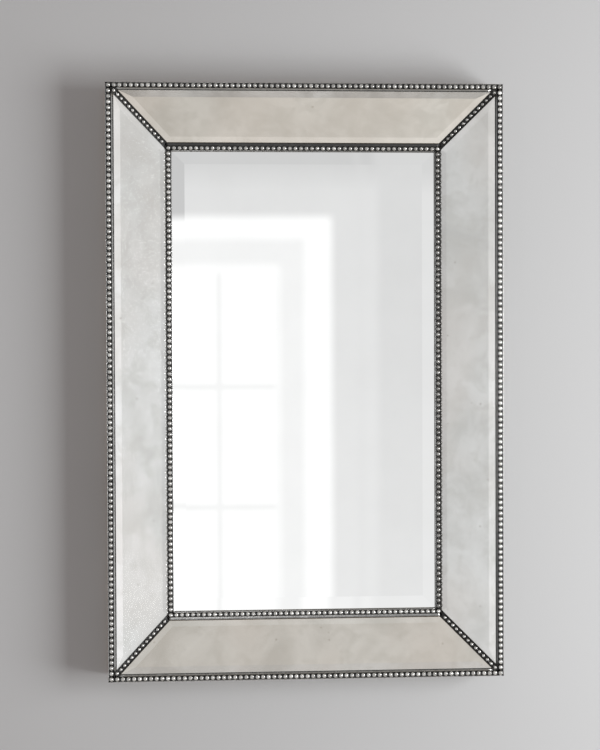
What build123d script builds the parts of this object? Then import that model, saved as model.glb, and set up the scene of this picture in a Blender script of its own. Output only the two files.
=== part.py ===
from build123d import *

import os
from math import atan, cos, sin, sqrt

# Wall mirror: four bevelled side glasses slope inward to a recessed bevelled mirror,
# and beaded trims cover every edge and mitre.
# Lengths are in millimetres. X runs to the right seen from the front, Z runs up,
# and the front faces -Y. The origin is on the wall plane behind the mirror's centre.
# Cross-sections are drawn as (inset, depth): inset inward from the outer silhouette,
# depth out from the wall.

# Whole mirror
overall_width = 609.6
overall_height = 914.4
frame_width = 99.2
outer_land_depth = 59.7
inner_land_depth = 17.8
cut_overrun = 5.0
mitre_reach = frame_width + cut_overrun

# Back of the mirror
bumper_thickness = 6.0
bumper_diameter = 16.0
bumper_taper = 12.0
bumper_inset = 32.0
board_thickness = 3.0
board_inset = 2.0
board_back_depth = bumper_thickness
board_front_depth = board_back_depth + board_thickness

# Frame boards
wall_inset = 0.6
wall_thickness = 11.0
slope_board_thickness = 6.0
inner_frame_width = 49.0
corner_block_leg = 40.0
corner_block_clearance = 1.0

# Centre mirror
mirror_thickness = 5.0
mirror_edge_thickness = 3.0
mirror_bevel_width = 25.4
mirror_overlap = 5.0
mirror_clearance = 0.5
mirror_lip_gap = 0.2
cushion_thickness = 2.0
cushion_width = 12.0
cushion_gap = 1.0
cushion_cross_count = 3

# Side glass
glass_thickness = 4.0
glass_edge_thickness = 2.0
glass_bevel_width = 10.0
glass_gap = 0.3
mastic_thickness = 1.5
mastic_width = 14.0
mastic_count = 3
mastic_length_share = 0.86

# Beaded trims, heights measured from the land or slope they sit on
bead_radius = 3.7
bead_axis_height = 2.2
bead_neck_radius = 1.1
trough_height = 1.5
rim_width = 0.9
rim_height = 2.6
rim_slant = 0.3
fillet_height = 3.4
fillet_lip_height = 3.0
outer_trim_width = 11.6
outer_bead_inset = 5.0
outer_beads_across = 70
outer_beads_down = 106
inner_trim_width_rail = 12.4
inner_trim_width_side = 8.6
inner_bead_inset = 4.3
inner_rim_width = 0.5
inner_rim_height = 2.2
inner_fillet_height = 2.5
inner_fillet_lip_height = 2.2
inner_beads_across = 49
inner_beads_down = 85
mitre_trim_width = 9.0
mitre_bead_radius = 3.0
mitre_bead_axis_height = 3.6
mitre_bead_lead = 1.6
mitre_bead_count = 14
mitre_bead_pitch = 8.4
mitre_flange_height = 4.7
mitre_trough_height = 3.0
mitre_trim_start_inset = 9.0

# Screws
backing_screw_diameter = 3.0
backing_screw_length = 16.0
backing_head_diameter = 6.5
backing_head_height = 2.0
board_hole_diameter = 3.6
pilot_clearance = 0.05
wall_screw_margin = 60.0
wall_screws_across = 3
wall_screws_down = 5
inner_screw_inset = 58.0
inner_screw_margin = 130.0
inner_screws_across = 2
inner_screws_down = 4
head_rounding_share = 0.4
recess_width_share = 0.16
recess_length_share = 0.56
recess_depth_share = 0.6

# Hangers
hanger_inset = 72.0
hanger_height = 250.0
ring_wire_diameter = 3.0
ring_half_width = 11.5
ring_leg = 4.0
ring_corner_radius = 2.6
ring_running_gap = 0.05
ring_strap_gap = 0.35
strap_thickness = 1.0
strap_width = 15.0
strap_length = 46.0
strap_corner_radius = 6.0
strap_screw_drops = (25.0, 37.0)
strap_hole_diameter = 4.0
hanger_screw_diameter = 3.5
hanger_screw_length = 12.0
hanger_head_diameter = 6.9
hanger_head_height = 2.1

# Slope of the side glass
slope_start = outer_trim_width
inner_land_width = inner_trim_width_rail + glass_gap
slope_end = frame_width - inner_land_width
slope_tangent = (outer_land_depth - inner_land_depth) / (slope_end - slope_start)
slope_angle = atan(slope_tangent)
slope_board_drop = slope_board_thickness / cos(slope_angle)
valley_factor = sqrt(2 + slope_tangent**2)
valley_tangent = slope_tangent / valley_factor

# Depths of the stack behind the sight edge
mirror_back_depth = board_front_depth + cushion_thickness
mirror_front_depth = mirror_back_depth + mirror_thickness
bevel_drop = mirror_thickness - mirror_edge_thickness
bevel_depth_at_lip = mirror_front_depth - bevel_drop * (1 - mirror_overlap / mirror_bevel_width)
lip_depth = bevel_depth_at_lip + mirror_lip_gap
mirror_width = overall_width - 2 * (frame_width - mirror_overlap)
mirror_height = overall_height - 2 * (frame_width - mirror_overlap)
rebate_inset = frame_width - mirror_overlap - mirror_clearance
overall_depth = outer_land_depth + bead_axis_height + bead_radius
front_reach = overall_depth + cut_overrun

# Each side is named by the inward direction of its cross-section, as (x, z)
side_inward = {"top": (0, -1), "bottom": (0, 1), "left": (1, 0), "right": (-1, 0)}
inner_trim_width = {
    "top": inner_trim_width_rail,
    "bottom": inner_trim_width_rail,
    "left": inner_trim_width_side,
    "right": inner_trim_width_side,
}
# Signs of x and z at the four corners
corner_signs = [(-1, 1), (1, 1), (-1, -1), (1, -1)]


def is_rail(side):
    """The top and bottom run across, the left and right run down."""
    return side in ("top", "bottom")


def half_length(side):
    return (overall_width if is_rail(side) else overall_height) / 2


def across_half(side):
    return (overall_height if is_rail(side) else overall_width) / 2


def plan_point(side, along, inset):
    """X and Z of a place on a side, from its distance along the side and its inset."""
    in_x, in_z = side_inward[side]
    out = inset - across_half(side)
    return (out * in_x + along * in_z, out * in_z - along * in_x)


def section_plane(side):
    """Plane of a side's cross-section: x is the inset, y is the depth."""
    in_x, in_z = side_inward[side]
    x, z = plan_point(side, 0, 0)
    return Plane(origin=(x, 0, z), x_dir=(in_x, 0, in_z), z_dir=(in_z, 0, -in_x))


def slope_plane(side):
    """Plane on the slope: x runs along the side, y runs down the slope."""
    in_x, in_z = side_inward[side]
    x, z = plan_point(side, 0, slope_start)
    normal = (in_x * sin(slope_angle), -cos(slope_angle), in_z * sin(slope_angle))
    return Plane(origin=(x, -outer_land_depth, z), x_dir=(in_z, 0, -in_x), z_dir=normal)


def row_plane(side, inset, depth):
    """Plane of a bead row: x runs along the side, y runs out towards the front."""
    in_x, in_z = side_inward[side]
    x, z = plan_point(side, 0, inset)
    return Plane(origin=(x, -depth, z), x_dir=(in_z, 0, -in_x), z_dir=(-in_x, 0, -in_z))


def valley_plane(lead, height):
    """Plane square to the top left valley, lead down it from where the slopes start."""
    start = Plane(
        origin=(slope_start - overall_width / 2, -outer_land_depth,
                overall_height / 2 - slope_start),
        x_dir=(1, 0, 1),
        z_dir=(1, slope_tangent, -1),
    )
    return Plane(
        origin=start.origin + start.z_dir * lead + start.y_dir * height,
        x_dir=start.x_dir,
        z_dir=start.z_dir,
    )


def closed_outline(plane, points):
    """Face inside a closed outline on a plane."""
    with BuildSketch(plane) as outline:
        with BuildLine():
            Polyline(*points, close=True)
        make_face()
    return outline.sketch


def mitre_band(side, far):
    """Plan outline of one side between its two mitres, from the silhouette inward."""
    half = half_length(side)
    return [
        plan_point(side, -half, 0),
        plan_point(side, half, 0),
        plan_point(side, half - far, far),
        plan_point(side, far - half, far),
    ]


def spread(count, span):
    """Places evenly spaced over a span, centred on zero."""
    return [span * (step / (count - 1) - 1 / 2) for step in range(count)]


def screw_points(side, inset, margin, count):
    span = 2 * (half_length(side) - margin)
    return [plan_point(side, along, inset) for along in spread(count, span)]


def slope_depth(inset):
    return outer_land_depth - (inset - slope_start) * slope_tangent


# Screw places
wall_screw_inset = wall_inset + wall_thickness / 2
wall_screws = {}
inner_screws = {}
for side in side_inward:
    wall_count = wall_screws_across if is_rail(side) else wall_screws_down
    inner_count = inner_screws_across if is_rail(side) else inner_screws_down
    wall_screws[side] = screw_points(side, wall_screw_inset, wall_screw_margin, wall_count)
    inner_screws[side] = screw_points(side, inner_screw_inset, inner_screw_margin, inner_count)
backing_points = sum(wall_screws.values(), []) + sum(inner_screws.values(), [])
hanger_sides = {"left": -1, "right": 1}
hanger_x = overall_width / 2 - hanger_inset
hanger_screws_at = {
    side: [(sign * hanger_x, hanger_height - drop) for drop in strap_screw_drops]
    for side, sign in hanger_sides.items()
}


def drill(points, diameter, depth, length):
    """Holes from a depth towards the front, cut out of the part being built."""
    with BuildSketch(Plane.XZ.offset(depth)) as holes:
        with Locations(*points):
            Circle(diameter / 2)
    extrude(holes.sketch, amount=length, mode=Mode.SUBTRACT)


def run_along(side, outline):
    """Run a cross-section along a side, in the part being built."""
    extrude(closed_outline(section_plane(side), outline), amount=half_length(side), both=True)


def cut_mitres(side, seat_depth):
    """Keep what lies between a side's two mitres, from a seat towards the front."""
    band = closed_outline(Plane.XZ.offset(seat_depth), mitre_band(side, mitre_reach))
    extrude(band, amount=front_reach, mode=Mode.INTERSECT)


def bead_string(plane, pitch, count, radius):
    """Beads on a thin neck along a plane's x axis, added to the part being built."""
    with BuildSketch(plane) as half_beads:
        with GridLocations(pitch, pitch, count, 1):
            Circle(radius)
        Rectangle(pitch * (count - 1), 2 * bead_neck_radius)
        Rectangle(pitch * (count + 1), 2 * radius, align=(Align.CENTER, Align.MAX),
                  mode=Mode.SUBTRACT)
    revolve(half_beads.sketch, axis=Axis(plane.origin, plane.x_dir))


def mitred_beads(side, inset, seat_depth, intervals):
    """A side's bead row, cut level with its seat and shared with its neighbours at the mitres."""
    span = 2 * (half_length(side) - inset)
    with BuildPart() as beads:
        bead_string(row_plane(side, inset, seat_depth + bead_axis_height),
                    span / intervals, intervals + 1, bead_radius)
        cut_mitres(side, seat_depth)
    return beads.part


def export(piece, name):
    piece.part.label = name
    export_step(piece.part, f"parts/{name}.step")


def export_facing(piece, name, *planes):
    """Write the same piece turned round to the far side of the mirror's middle planes."""
    shape = piece.part
    for plane in planes:
        with BuildPart() as facing:
            mirror(shape, about=plane)
        shape = facing.part
    export(facing, name)


os.makedirs("parts", exist_ok=True)

# Side walls, slope boards and inner frame
wall_end = wall_inset + wall_thickness
inner_frame_start = frame_width - inner_frame_width
board_screw_grip = backing_screw_length - board_thickness
backing_pilot = backing_screw_diameter + 2 * pilot_clearance
hanger_pilot = hanger_screw_diameter + 2 * pilot_clearance
for side in side_inward:
    with BuildPart() as side_wall:
        run_along(side, [
            (wall_inset, board_front_depth),
            (wall_end, board_front_depth),
            (wall_end, outer_land_depth),
            (wall_inset, outer_land_depth),
        ])
        cut_mitres(side, board_front_depth)
        drill(wall_screws[side], backing_pilot, board_front_depth, board_screw_grip)
    export(side_wall, f"side_wall_{side}")

    with BuildPart() as slope_board:
        run_along(side, [
            (slope_start, outer_land_depth),
            (slope_end, inner_land_depth),
            (slope_end, inner_land_depth - slope_board_drop),
            (slope_start, outer_land_depth - slope_board_drop),
        ])
        cut_mitres(side, board_front_depth)
    export(slope_board, f"slope_board_{side}")

    with BuildPart() as inner_frame:
        run_along(side, [
            (inner_frame_start, board_front_depth),
            (inner_frame_start, slope_depth(inner_frame_start) - slope_board_drop),
            (slope_end, inner_land_depth - slope_board_drop),
            (slope_end, inner_land_depth),
            (frame_width, inner_land_depth),
            (frame_width, lip_depth),
            (rebate_inset, lip_depth),
            (rebate_inset, board_front_depth),
        ])
        cut_mitres(side, board_front_depth)
        drill(inner_screws[side], backing_pilot, board_front_depth, board_screw_grip)
        if side in hanger_sides:
            drill(hanger_screws_at[side], hanger_pilot, board_front_depth,
                  hanger_screw_length - strap_thickness - board_thickness)
    export(inner_frame, f"inner_frame_{side}")

# Glue blocks in the four outer corners
block_top_depth = slope_depth(wall_end + corner_block_leg) - slope_board_drop
with BuildPart() as corner_blocks:
    for sign_x, sign_z in corner_signs:
        corner_x = sign_x * (overall_width / 2 - wall_end)
        corner_z = sign_z * (overall_height / 2 - wall_end)
        with BuildSketch(Plane.XZ.offset(board_front_depth)):
            with BuildLine():
                Polyline(
                    (corner_x, corner_z),
                    (corner_x - sign_x * corner_block_leg, corner_z),
                    (corner_x, corner_z - sign_z * corner_block_leg),
                    close=True,
                )
            make_face()
        extrude(amount=block_top_depth - corner_block_clearance - board_front_depth)
export(corner_blocks, "corner_blocks")

# Centre mirror with its bevel, and the foam strips that press it against the lip
with BuildPart() as centre_mirror:
    with BuildSketch(Plane.XZ.offset(mirror_back_depth)):
        Rectangle(mirror_width, mirror_height)
    extrude(amount=mirror_thickness)
    mirror_face = centre_mirror.faces().sort_by(Axis.Y)[0]
    chamfer(mirror_face.edges(), length=mirror_bevel_width, length2=bevel_drop,
            reference=mirror_face)
export(centre_mirror, "centre_mirror")

cushion_side_x = (mirror_width - cushion_width) / 2
cushion_cross_length = mirror_width - 2 * cushion_width - 2 * cushion_gap
with BuildPart() as mirror_cushion:
    with BuildSketch(Plane.XZ.offset(board_front_depth)):
        with Locations((-cushion_side_x, 0), (cushion_side_x, 0)):
            Rectangle(cushion_width, mirror_height)
        cross_places = spread(cushion_cross_count, mirror_height - cushion_width)
        with Locations(*[(0, place) for place in cross_places]):
            Rectangle(cushion_cross_length, cushion_width)
    extrude(amount=cushion_thickness)
export(mirror_cushion, "mirror_cushion")

# Side glass, bedded on ribbons of mastic between the trims
edge_lift = (mastic_thickness + glass_edge_thickness) * sin(slope_angle)
glass_top = (glass_gap - mastic_thickness * sin(slope_angle)) / cos(slope_angle)
mitre_keepout = (mitre_trim_width / 2 + glass_gap) * sqrt(2) + edge_lift


def glass_half(side, run):
    """Half a side glass's length at a distance down the slope."""
    return half_length(side) - slope_start - run * cos(slope_angle) - mitre_keepout


for side in side_inward:
    glass_end_inset = frame_width - inner_trim_width[side] - glass_gap - edge_lift
    glass_bottom = (glass_end_inset - slope_start) / cos(slope_angle)
    with BuildPart() as side_glass:
        with BuildSketch(slope_plane(side).offset(mastic_thickness)):
            with BuildLine():
                Polyline(
                    (-glass_half(side, glass_top), glass_top),
                    (glass_half(side, glass_top), glass_top),
                    (glass_half(side, glass_bottom), glass_bottom),
                    (-glass_half(side, glass_bottom), glass_bottom),
                    close=True,
                )
            make_face()
        extrude(amount=glass_thickness)
        glass_face = (
            side_glass.faces()
            .filter_by(slope_plane(side))
            .sort_by(Axis(slope_plane(side).origin, slope_plane(side).z_dir))[-1]
        )
        chamfer(glass_face.edges(), length=glass_bevel_width,
                length2=glass_thickness - glass_edge_thickness, reference=glass_face)
    export(side_glass, f"side_glass_{side}")

    glass_run = glass_bottom - glass_top
    with BuildPart() as mastic:
        for ribbon in range(mastic_count):
            run = glass_top + glass_run * (ribbon + 1) / (mastic_count + 1)
            with BuildSketch(slope_plane(side)):
                with Locations((0, run)):
                    Rectangle(2 * glass_half(side, run) * mastic_length_share, mastic_width)
            extrude(amount=mastic_thickness)
    export(mastic, f"side_glass_mastic_{side}")


def cut_trim_corners():
    """Room for the mitre trims, cut out of the outer trims' flat inner edges."""
    start = mitre_trim_start_inset - glass_gap
    reach = outer_trim_width + cut_overrun
    half_band = (mitre_trim_width / 2 + glass_gap) * sqrt(2)
    insets = [(start, start), (start + half_band, start), (reach + half_band, reach),
              (reach, reach + half_band), (start, start + half_band)]
    for sign_x, sign_z in corner_signs:
        points = [
            (sign_x * (overall_width / 2 - inset_x), sign_z * (overall_height / 2 - inset_z))
            for inset_x, inset_z in insets
        ]
        notch = closed_outline(Plane.XZ.offset(outer_land_depth), points)
        extrude(notch, amount=front_reach, mode=Mode.SUBTRACT)


# The trims of the top and left are made here, and those facing them are the same turned round
facing_sides = {"top": ("bottom", Plane.XY), "left": ("right", Plane.YZ)}

# Outer trims: a rim, a trough that holds the bead row, and a flat fillet by the glass
outer_trough_start = outer_bead_inset - bead_radius
outer_trough_end = outer_bead_inset + bead_radius
for side, (facing_side, facing_plane) in facing_sides.items():
    intervals = outer_beads_across if is_rail(side) else outer_beads_down
    outer_beads = mitred_beads(side, outer_bead_inset, outer_land_depth, intervals)
    with BuildPart() as outer_trim:
        run_along(side, [
            (0, outer_land_depth),
            (outer_trim_width, outer_land_depth),
            (outer_trim_width, outer_land_depth + fillet_height),
            (outer_trough_end + rim_slant, outer_land_depth + fillet_lip_height),
            (outer_trough_end, outer_land_depth + trough_height),
            (outer_trough_start, outer_land_depth + trough_height),
            (rim_width, outer_land_depth + rim_height),
            (0, outer_land_depth + rim_height),
        ])
        cut_mitres(side, outer_land_depth)
        cut_trim_corners()
        add(outer_beads)
    export(outer_trim, f"outer_trim_{side}")
    export_facing(outer_trim, f"outer_trim_{facing_side}", facing_plane)

# Inner trims: the same moulding turned round, beads towards the mirror
inner_trims_width = overall_width - 2 * (frame_width - inner_trim_width_side)
inner_trims_height = overall_height - 2 * (frame_width - inner_trim_width_rail)
bead_line_inset = frame_width - inner_bead_inset
inner_trough_start = bead_line_inset - bead_radius
inner_trough_end = bead_line_inset + bead_radius
for side, (facing_side, facing_plane) in facing_sides.items():
    intervals = inner_beads_across if is_rail(side) else inner_beads_down
    trim_start = frame_width - inner_trim_width[side]
    inner_beads = mitred_beads(side, bead_line_inset, inner_land_depth, intervals)
    with BuildPart() as inner_trim:
        run_along(side, [
            (frame_width, inner_land_depth),
            (trim_start, inner_land_depth),
            (trim_start, inner_land_depth + inner_fillet_height),
            (inner_trough_start - rim_slant, inner_land_depth + inner_fillet_lip_height),
            (inner_trough_start, inner_land_depth + trough_height),
            (inner_trough_end, inner_land_depth + trough_height),
            (frame_width - inner_rim_width, inner_land_depth + inner_rim_height),
            (frame_width, inner_land_depth + inner_rim_height),
        ])
        cut_mitres(side, inner_land_depth)
        with BuildSketch(Plane.XZ.offset(inner_land_depth)):
            Rectangle(inner_trims_width, inner_trims_height)
        extrude(amount=front_reach, mode=Mode.INTERSECT)
        add(inner_beads)
    export(inner_trim, f"inner_trim_{side}")
    export_facing(inner_trim, f"inner_trim_{facing_side}", facing_plane)

# Mitre trims: beaded strips in the valleys where two side glasses meet
valley_length = (frame_width - slope_start) * valley_factor
valley_lead = (mitre_trim_start_inset - slope_start - cut_overrun) * valley_factor
half_trim = mitre_trim_width / 2
seat_rise = half_trim * valley_tangent
mitre_trough = mitre_bead_radius + rim_slant
bead_run = mitre_bead_pitch * (mitre_bead_count - 1)
row_middle = valley_plane(mitre_bead_lead + bead_run / 2, mitre_bead_axis_height)
mitre_row_plane = Plane(origin=row_middle.origin, x_dir=row_middle.z_dir,
                        z_dir=-row_middle.x_dir)
with BuildPart() as mitre_trim:
    with BuildSketch(valley_plane(valley_lead, 0)):
        with BuildLine():
            Polyline(
                (0, 0),
                (half_trim, seat_rise),
                (half_trim, mitre_flange_height),
                (mitre_trough, mitre_flange_height - rim_slant),
                (mitre_bead_radius, mitre_trough_height),
                (-mitre_bead_radius, mitre_trough_height),
                (-mitre_trough, mitre_flange_height - rim_slant),
                (-half_trim, mitre_flange_height),
                (-half_trim, seat_rise),
                close=True,
            )
        make_face()
    extrude(amount=valley_length - valley_lead)
    bead_string(mitre_row_plane, mitre_bead_pitch, mitre_bead_count, mitre_bead_radius)
    with BuildSketch(Plane.XZ.offset(inner_land_depth)):
        Rectangle(overall_width - 2 * mitre_trim_start_inset,
                  overall_height - 2 * mitre_trim_start_inset)
        Rectangle(inner_trims_width + 2 * glass_gap, inner_trims_height + 2 * glass_gap,
                  mode=Mode.SUBTRACT)
    extrude(amount=front_reach, mode=Mode.INTERSECT)
export(mitre_trim, "mitre_trim_top_left")
export_facing(mitre_trim, "mitre_trim_top_right", Plane.YZ)
export_facing(mitre_trim, "mitre_trim_bottom_left", Plane.XY)
export_facing(mitre_trim, "mitre_trim_bottom_right", Plane.YZ, Plane.XY)

# Backing board, drilled for its screws and the hangers' screws
with BuildPart() as backing_board:
    with BuildSketch(Plane.XZ.offset(board_back_depth)):
        Rectangle(overall_width - 2 * board_inset, overall_height - 2 * board_inset)
    extrude(amount=board_thickness)
    drill(backing_points, board_hole_diameter, board_back_depth, board_thickness)
    drill(sum(hanger_screws_at.values(), []), strap_hole_diameter,
          board_back_depth, board_thickness)
export(backing_board, "backing_board")


def pan_screws(points, seat_depth, diameter, length, head_diameter, head_height):
    """Pan-head cross-recessed screws whose heads sit on a seat and point to the wall."""
    with BuildPart() as screws:
        with BuildSketch(Plane.XZ.offset(seat_depth)):
            with Locations(*points):
                Circle(diameter / 2)
        extrude(amount=length)
        with BuildSketch(Plane.XZ.offset(seat_depth)):
            with Locations(*points):
                Circle(head_diameter / 2)
        extrude(amount=-head_height)
        crowns = screws.faces().filter_by(Plane.XZ).group_by(Axis.Y)[-1]
        fillet(crowns.edges(), radius=head_height * head_rounding_share)
        with BuildSketch(Plane.XZ.offset(seat_depth - head_height)):
            with Locations(*points):
                Rectangle(head_diameter * recess_length_share,
                          head_diameter * recess_width_share)
                Rectangle(head_diameter * recess_width_share,
                          head_diameter * recess_length_share)
        extrude(amount=head_height * recess_depth_share, mode=Mode.SUBTRACT)
    return screws


backing_screws = pan_screws(backing_points, board_back_depth, backing_screw_diameter,
                            backing_screw_length, backing_head_diameter,
                            backing_head_height)
export(backing_screws, "backing_screws")

# Hangers: a folded strap on each side, and the ring that swings in its fold
strap_back_depth = board_back_depth - strap_thickness
ring_wire_radius = ring_wire_diameter / 2
ring_axis_depth = strap_back_depth - ring_strap_gap - ring_wire_radius
fold_bore_radius = ring_wire_radius + ring_running_gap
fold_outer_radius = fold_bore_radius + strap_thickness
for side, sign in hanger_sides.items():
    fold_plane = Plane.YZ.offset(sign * hanger_x)
    fold_centre = (-ring_axis_depth, hanger_height)
    with BuildPart() as hanger_plate:
        with BuildSketch(Plane.XZ.offset(strap_back_depth)) as strap_outline:
            with Locations((sign * hanger_x, hanger_height)):
                Rectangle(strap_width, strap_length, align=(Align.CENTER, Align.MAX))
            fillet(strap_outline.vertices().group_by(Axis.Y)[0], strap_corner_radius)
        extrude(amount=strap_thickness)
        with BuildSketch(fold_plane):
            with Locations(fold_centre):
                Circle(fold_outer_radius)
        extrude(amount=strap_width / 2, both=True)
        with BuildSketch(fold_plane):
            with Locations(fold_centre):
                Circle(fold_bore_radius)
        extrude(amount=strap_width / 2, both=True, mode=Mode.SUBTRACT)
        drill(hanger_screws_at[side], strap_hole_diameter, strap_back_depth, strap_thickness)
    export(hanger_plate, f"hanger_plate_{side}")

    with BuildPart() as hanger_ring:
        with BuildLine(Plane.XZ.offset(ring_axis_depth)) as ring_path:
            ring_ends = [sign * hanger_x - ring_half_width, sign * hanger_x + ring_half_width]
            ring_bottom = hanger_height - ring_leg
            Line((ring_ends[0], hanger_height), (ring_ends[1], hanger_height))
            Line((ring_ends[1], hanger_height), (ring_ends[1], ring_bottom))
            RadiusArc((ring_ends[1], ring_bottom), (ring_ends[0], ring_bottom),
                      ring_half_width)
            Line((ring_ends[0], ring_bottom), (ring_ends[0], hanger_height))
            fillet(ring_path.vertices().group_by(Axis.Z)[-1], ring_corner_radius)
        ring_wire = ring_path.wires()[0]
        with BuildSketch(Plane(origin=ring_wire @ 0, z_dir=ring_wire % 0)):
            Circle(ring_wire_radius)
        sweep(path=ring_wire)
    export(hanger_ring, f"hanger_ring_{side}")

hanger_screws = pan_screws(sum(hanger_screws_at.values(), []), strap_back_depth,
                           hanger_screw_diameter, hanger_screw_length,
                           hanger_head_diameter, hanger_head_height)
export(hanger_screws, "hanger_screws")

# Rubber bumpers that keep the back off the wall
bumper_x = overall_width - 2 * bumper_inset
bumper_z = overall_height - 2 * bumper_inset
with BuildPart() as wall_bumpers:
    with BuildSketch(Plane.XZ.offset(bumper_thickness)):
        with GridLocations(bumper_x, bumper_z, 2, 2):
            Circle(bumper_diameter / 2)
    extrude(amount=-bumper_thickness, taper=bumper_taper)
export(wall_bumpers, "wall_bumpers")
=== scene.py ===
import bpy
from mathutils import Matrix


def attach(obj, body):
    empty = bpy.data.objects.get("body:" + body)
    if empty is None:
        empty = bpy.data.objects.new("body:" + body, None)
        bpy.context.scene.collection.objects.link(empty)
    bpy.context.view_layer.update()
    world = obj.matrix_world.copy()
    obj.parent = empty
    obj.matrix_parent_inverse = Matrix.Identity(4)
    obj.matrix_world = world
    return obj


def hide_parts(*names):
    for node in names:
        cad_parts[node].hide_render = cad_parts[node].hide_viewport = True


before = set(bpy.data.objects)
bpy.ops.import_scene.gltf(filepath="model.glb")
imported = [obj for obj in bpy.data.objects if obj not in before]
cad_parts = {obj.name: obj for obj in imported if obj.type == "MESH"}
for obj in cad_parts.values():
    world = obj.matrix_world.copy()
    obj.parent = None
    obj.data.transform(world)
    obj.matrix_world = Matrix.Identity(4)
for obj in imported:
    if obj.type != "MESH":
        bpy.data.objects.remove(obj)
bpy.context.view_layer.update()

import math
import random

import bpy
from mathutils import Euler, Vector

random.seed(24)
MM = 0.001
BODY = "mirror_body"
IMAGE_HEIGHT = 750

# Sizes of the mirror, in millimetres. A section is (inset from the silhouette, depth from the wall)
WIDTH = 609.6
HEIGHT = 914.4
FRAME_WIDTH = 99.2
OUTER_LAND = 59.7
INNER_LAND = 17.8
OUTER_TRIM = 11.6
OUTER_ROW = 5.0
INNER_TRIM_RAIL = 12.4
INNER_TRIM_SIDE = 8.6
INNER_ROW = FRAME_WIDTH - 4.1
GAP = 0.3
ROOT2 = math.sqrt(2)
SLOPE_END = FRAME_WIDTH - INNER_TRIM_RAIL - GAP
SLOPE = (OUTER_LAND - INNER_LAND) / (SLOPE_END - OUTER_TRIM)
VALLEY = math.sqrt(2 + SLOPE ** 2)
MITRE_START = 9.0
MITRE_HALF = 4.5
MITRE_ROW_HEIGHT = 3.0
MITRE_BEAD = 3.0
MITRE_TROUGH = 2.4
MITRE_FIRST_BEAD = 1.6
MITRE_PITCH = 8.4
MITRE_BEADS = 14
# Leaf on each corner's mitre beads, set corner by corner as painted shade: the top right corner painted
# darker
MITRE_LEAF_AND_CORNER_SHADE = {"top_left": 0.96, "top_right": 0.78, "bottom_left": 0.96, "bottom_right": 0.96}
BOARD_FRONT = 9.0
CUSHION_WIDTH = 12.0
CUSHION_THICKNESS = 2.0
CUSHION_GAP = 1.0
MIRROR_WIDTH = 421.2
MIRROR_HEIGHT = 726.0
SIDES = {"top": (0, -1), "bottom": (0, 1), "left": (1, 0), "right": (-1, 0)}
CORNERS = {"top_left": (-1, 1), "top_right": (1, 1), "bottom_left": (-1, -1), "bottom_right": (1, -1)}


# ---- Shader helpers
def tree_of(name):
    material = bpy.data.materials.new(name)
    material.use_nodes = True
    tree = material.node_tree
    tree.nodes.clear()
    output = tree.nodes.new("ShaderNodeOutputMaterial")
    return material, tree, output


def put(tree, kind, inputs=(), **settings):
    """A node with settings and inputs, where an input is a value or another node's output."""
    made = tree.nodes.new("ShaderNode" + kind)
    for key, value in settings.items():
        setattr(made, key, value)
    for key, value in dict(inputs).items():
        if isinstance(value, bpy.types.NodeSocket):
            tree.links.new(value, made.inputs[key])
        else:
            made.inputs[key].default_value = value
    return made


def colour(r, g, b):
    return (r, g, b, 1.0)


def ramp(tree, factor, stops):
    made = put(tree, "ValToRGB", {"Fac": factor})
    elements = made.color_ramp.elements
    while len(elements) > 1:
        elements.remove(elements[-1])
    elements[0].position, elements[0].color = stops[0][0], colour(*stops[0][1])
    for place, shade in stops[1:]:
        element = elements.new(place)
        element.color = colour(*shade)
    return made.outputs["Color"]


def spread(tree, value, low, high, to_low=0.0, to_high=1.0):
    return put(tree, "MapRange", {"Value": value, "From Min": low, "From Max": high,
                                  "To Min": to_low, "To Max": to_high},
               interpolation_type="SMOOTHSTEP").outputs["Result"]


def spread_flat(tree, value, low, high):
    return put(tree, "MapRange", {"Value": value, "From Min": low, "From Max": high}).outputs["Result"]


def sum_of(tree, kind, a, b):
    return put(tree, "Math", {0: a, 1: b}, operation=kind).outputs[0]


def mixed(tree, factor, a, b, blend="MIX"):
    made = tree.nodes.new("ShaderNodeMix")
    made.data_type = "RGBA"
    made.blend_type = blend
    for index, value in ((0, factor), (6, a), (7, b)):
        if isinstance(value, bpy.types.NodeSocket):
            tree.links.new(value, made.inputs[index])
        else:
            made.inputs[index].default_value = value
    return made.outputs[2]


def object_coords(tree, scale=(1, 1, 1)):
    coords = put(tree, "TexCoord").outputs["Object"]
    return put(tree, "Mapping", {"Vector": coords, "Scale": scale}).outputs["Vector"]


def noise(tree, vector, scale, detail=4.0, rough=0.5, distortion=0.0):
    return put(tree, "TexNoise", {"Vector": vector, "Scale": scale, "Detail": detail,
                                  "Roughness": rough, "Distortion": distortion}).outputs["Fac"]


def bump(tree, height, distance, strength=1.0, normal=None):
    inputs = {"Height": height, "Distance": distance, "Strength": strength}
    if normal is not None:
        inputs["Normal"] = normal
    return put(tree, "Bump", inputs).outputs["Normal"]


def surface(tree, output, inputs):
    shader = put(tree, "BsdfPrincipled", inputs)
    tree.links.new(shader.outputs["BSDF"], output.inputs["Surface"])


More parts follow.
